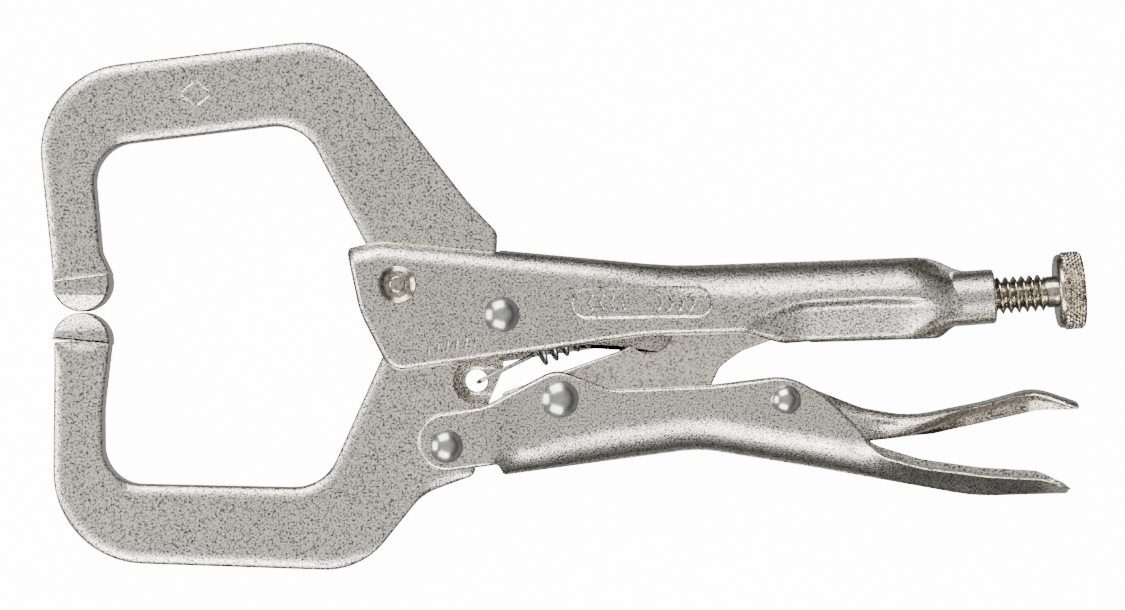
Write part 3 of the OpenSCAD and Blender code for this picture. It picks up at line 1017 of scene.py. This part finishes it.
def adjusting_knob():
    """Knob with a diamond knurl, and a hexagonal socket in its end."""
    length, knurled, cells = 4.0, 5.7, 20
    rows = [[2.36, 0.0], [4.7, 0.0], [4.95, 0.05], [5.15, 0.16], [5.3, 0.34], [5.38, 0.55], [5.42, 0.8]]
    rows += [[knurled, z] for z in np.linspace(0.9, length - 0.3, 46)]
    rows += [[5.42, length - 0.2], [5.25, length - 0.06], [5.0, length], [2.36, length], rows[0]]

    def shape(r, z, angle):
        if r != knurled:
            return np.full(len(angle), r)
        run = 2 * math.pi * knurled
        a = cells * angle + z * cells * 2 * math.pi / run
        b = cells * angle - z * cells * 2 * math.pi / run
        groove = [np.abs(2 * ((t / math.pi) % 1) - 1) for t in (a, b)]
        peak = 1 - np.maximum(*groove)
        ease = smooth(0.9, 1.1, z) * smooth(0, 0.2, length - 0.3 - z)
        return 5.28 + 0.6 * np.minimum(peak, 0.7) * ease

    ring = face_outwards(revolve("knob_rim", rows, 352, shape), weld=True)
    plug = cylinder("plug", 2.5, 1.5, length - 0.05)
    combine(plug, hexagon("socket", 2.309, length - 2, length + 2))
    knob = join("knob_turned", [ring, plug])
    return move_points(knob, lambda p: along_screw(p, KNOB_S))


def hexagon(name, r, low, high):
    """Six-sided prism, with corners at radius r."""
    corners = [(r * math.cos(a), r * math.sin(a)) for a in np.radians(np.arange(0, 360, 60))]
    verts = [(x, y, z) for z in (low, high) for x, y in corners]
    return new_object(name, verts, ring_faces(6, 2))


def return_spring():
    """Extension spring: a hook through the jaw's ear, a straight lead, the coil, and the far hook."""
    start, end = COIL
    axis = unit(end - start)
    across = np.array([-axis[1], axis[0], 0])
    up = np.array([0, 0, 1.0])
    length = np.linalg.norm(end - start)
    turns = length / 1.67
    radius = 1.93
    path = [[-12.35, -11.25, -1.9], [-12.1, -11.2, -0.9], [-11.95, -11.1, 0.6], [-11.85, -11.0, 1.6],
            [-11.5, -10.85, 2.15], [-10.8, -10.5, 2.2]]
    bend, lead = np.array(path[-1]), np.array([-4.9, -7.65, 2.0])
    path += [bend + (lead - bend) * t for t in np.linspace(0.1, 1, 9)]
    count = int(turns * 20)
    for i in range(count + 1):
        f = i / count
        a = math.pi * 0.5 - 2 * math.pi * turns * f
        r = radius * (1 if 0.02 < f < 0.98 else 0.98)
        path.append(start + axis * length * f + up * r * math.sin(a) + across * r * math.cos(a))
    last, hook = path[-1], np.array([*SPRING_HOOK, 0.0])
    path += [last + (hook - last) * smooth(0, 1, t) for t in np.linspace(0.12, 1, 9)]
    return tube("spring_wire", path, WIRE, 10)


# ---------------------------------------------------------------- assembly

def build():
    """Makes every piece, on the body that carries it and in place of its CAD node."""
    steel, sheet, plate = bar_metal(), sheet_metal(), link_metal()
    polished, turned, wire = rivet_metal(), turned_metal(), wire_metal()
    settle(fixed_jaw(), "frame", ["fixed_jaw"], steel)
    settle(moving_jaw(), "jaw", ["moving_jaw"], steel)
    settle(handle(), "frame", ["fixed_handle"], sheet)
    settle(lever(), "grip", ["lever"], sheet)
    settle(release_lever(), "release", ["release_lever"], sheet)
    settle(toggle_link(), "link", ["toggle_link"], plate)
    settle(stake_rivet(), "frame", ["stake_rivet"], turned)
    for name, body, place, grip, head_r in (
            ("jaw_rivet", "frame", JAW_PIVOT, 2 * HANDLE_HALF, 2.6),
            ("lever_rivet", "grip", LEVER_PIVOT, 2 * HANDLE_HALF, 2.45),
            ("link_rivet", "grip", LINK_PIVOT, 2 * LEVER_HALF, 2.75),
            ("release_rivet", "grip", RELEASE_PIVOT, 2 * LEVER_HALF, 2.15)):
        settle(rivet(name + "_turned", place, grip, head_r), body, [name], polished)
    settle(adjusting_screw(), "screw", ["adjusting_screw"], turned, 40)
    settle(adjusting_knob(), "knob", ["adjusting_knob"], turned, 40)
    spring = settle(return_spring(), None, ["return_spring"], wire, 60, ride=False)
    bake(spring)
    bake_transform(spring)


def floor():
    size = 6.0
    corners = [(-size, -size, 0), (size, -size, 0), (size, size, 0), (-size, size, 0)]
    ground = new_object("floor", corners, [(0, 1, 2, 3)])
    ground.data.materials.append(floor_material())


def sky():
    """Soft surroundings, in bands from the horizon to straight above. The camera sees them white."""
    world = bpy.data.worlds.new("studio")
    bpy.context.scene.world = world
    world.use_nodes = True
    tree = world.node_tree
    link = tree.links.new
    back = tree.nodes["Background"]
    place = node(tree, "ShaderNodeTexCoord")
    split = node(tree, "ShaderNodeSeparateXYZ")
    bands = colour_ramp(tree, [(0.0, (0.20, 0.20, 0.21, 1)), (0.12, (0.32, 0.32, 0.336, 1)),
                               (0.35, (0.30, 0.30, 0.315, 1)), (0.6, (0.08, 0.08, 0.084, 1)),
                               (1.0, grey(0.84))])
    ray = node(tree, "ShaderNodeLightPath")
    mix = node(tree, "ShaderNodeMix", data_type="RGBA")
    mix.inputs["B"].default_value = (SEEN_WHITE, SEEN_WHITE, SEEN_WHITE, 1)
    link(place.outputs["Generated"], split.inputs[0])
    link(split.outputs["Z"], bands.inputs["Fac"])
    link(ray.outputs["Is Camera Ray"], mix.inputs["Factor"])
    link(bands.outputs["Color"], mix.inputs["A"])
    link(mix.outputs["Result"], back.inputs["Color"])


def area_light(name, place, width, height, power):
    """Rectangular soft box, aimed at the middle of the part."""
    light = bpy.data.lights.new(name, "AREA")
    light.shape = "RECTANGLE"
    light.size = width
    light.size_y = height
    light.energy = power
    obj = link_object(name, light)
    obj.location = place
    obj.rotation_euler = (-Vector(place)).to_track_quat("-Z", "Y").to_euler()


def studio():
    floor()
    sky()
    area_light("box_upper_left", (-0.35, 0.98, 0.86), 1.0, 0.75, 30.0)
    area_light("box_lower_left", (-0.30, -0.95, 0.90), 1.0, 0.65, 26.0)
    area_light("box_left", (-1.05, 0.0, 0.55), 0.7, 0.5, 12.0)


def camera():
    """Looks straight down from 0.68 m above the middle plane, through a long lens."""
    data = bpy.data.cameras.new("camera")
    data.sensor_width = 36
    data.lens = 149.6
    data.clip_end = 20
    obj = link_object("camera", data)
    obj.location = (-0.000213, 0.000149, (MID_Z + 680) * MM)
    bpy.context.scene.camera = obj


camera()
studio()
build()
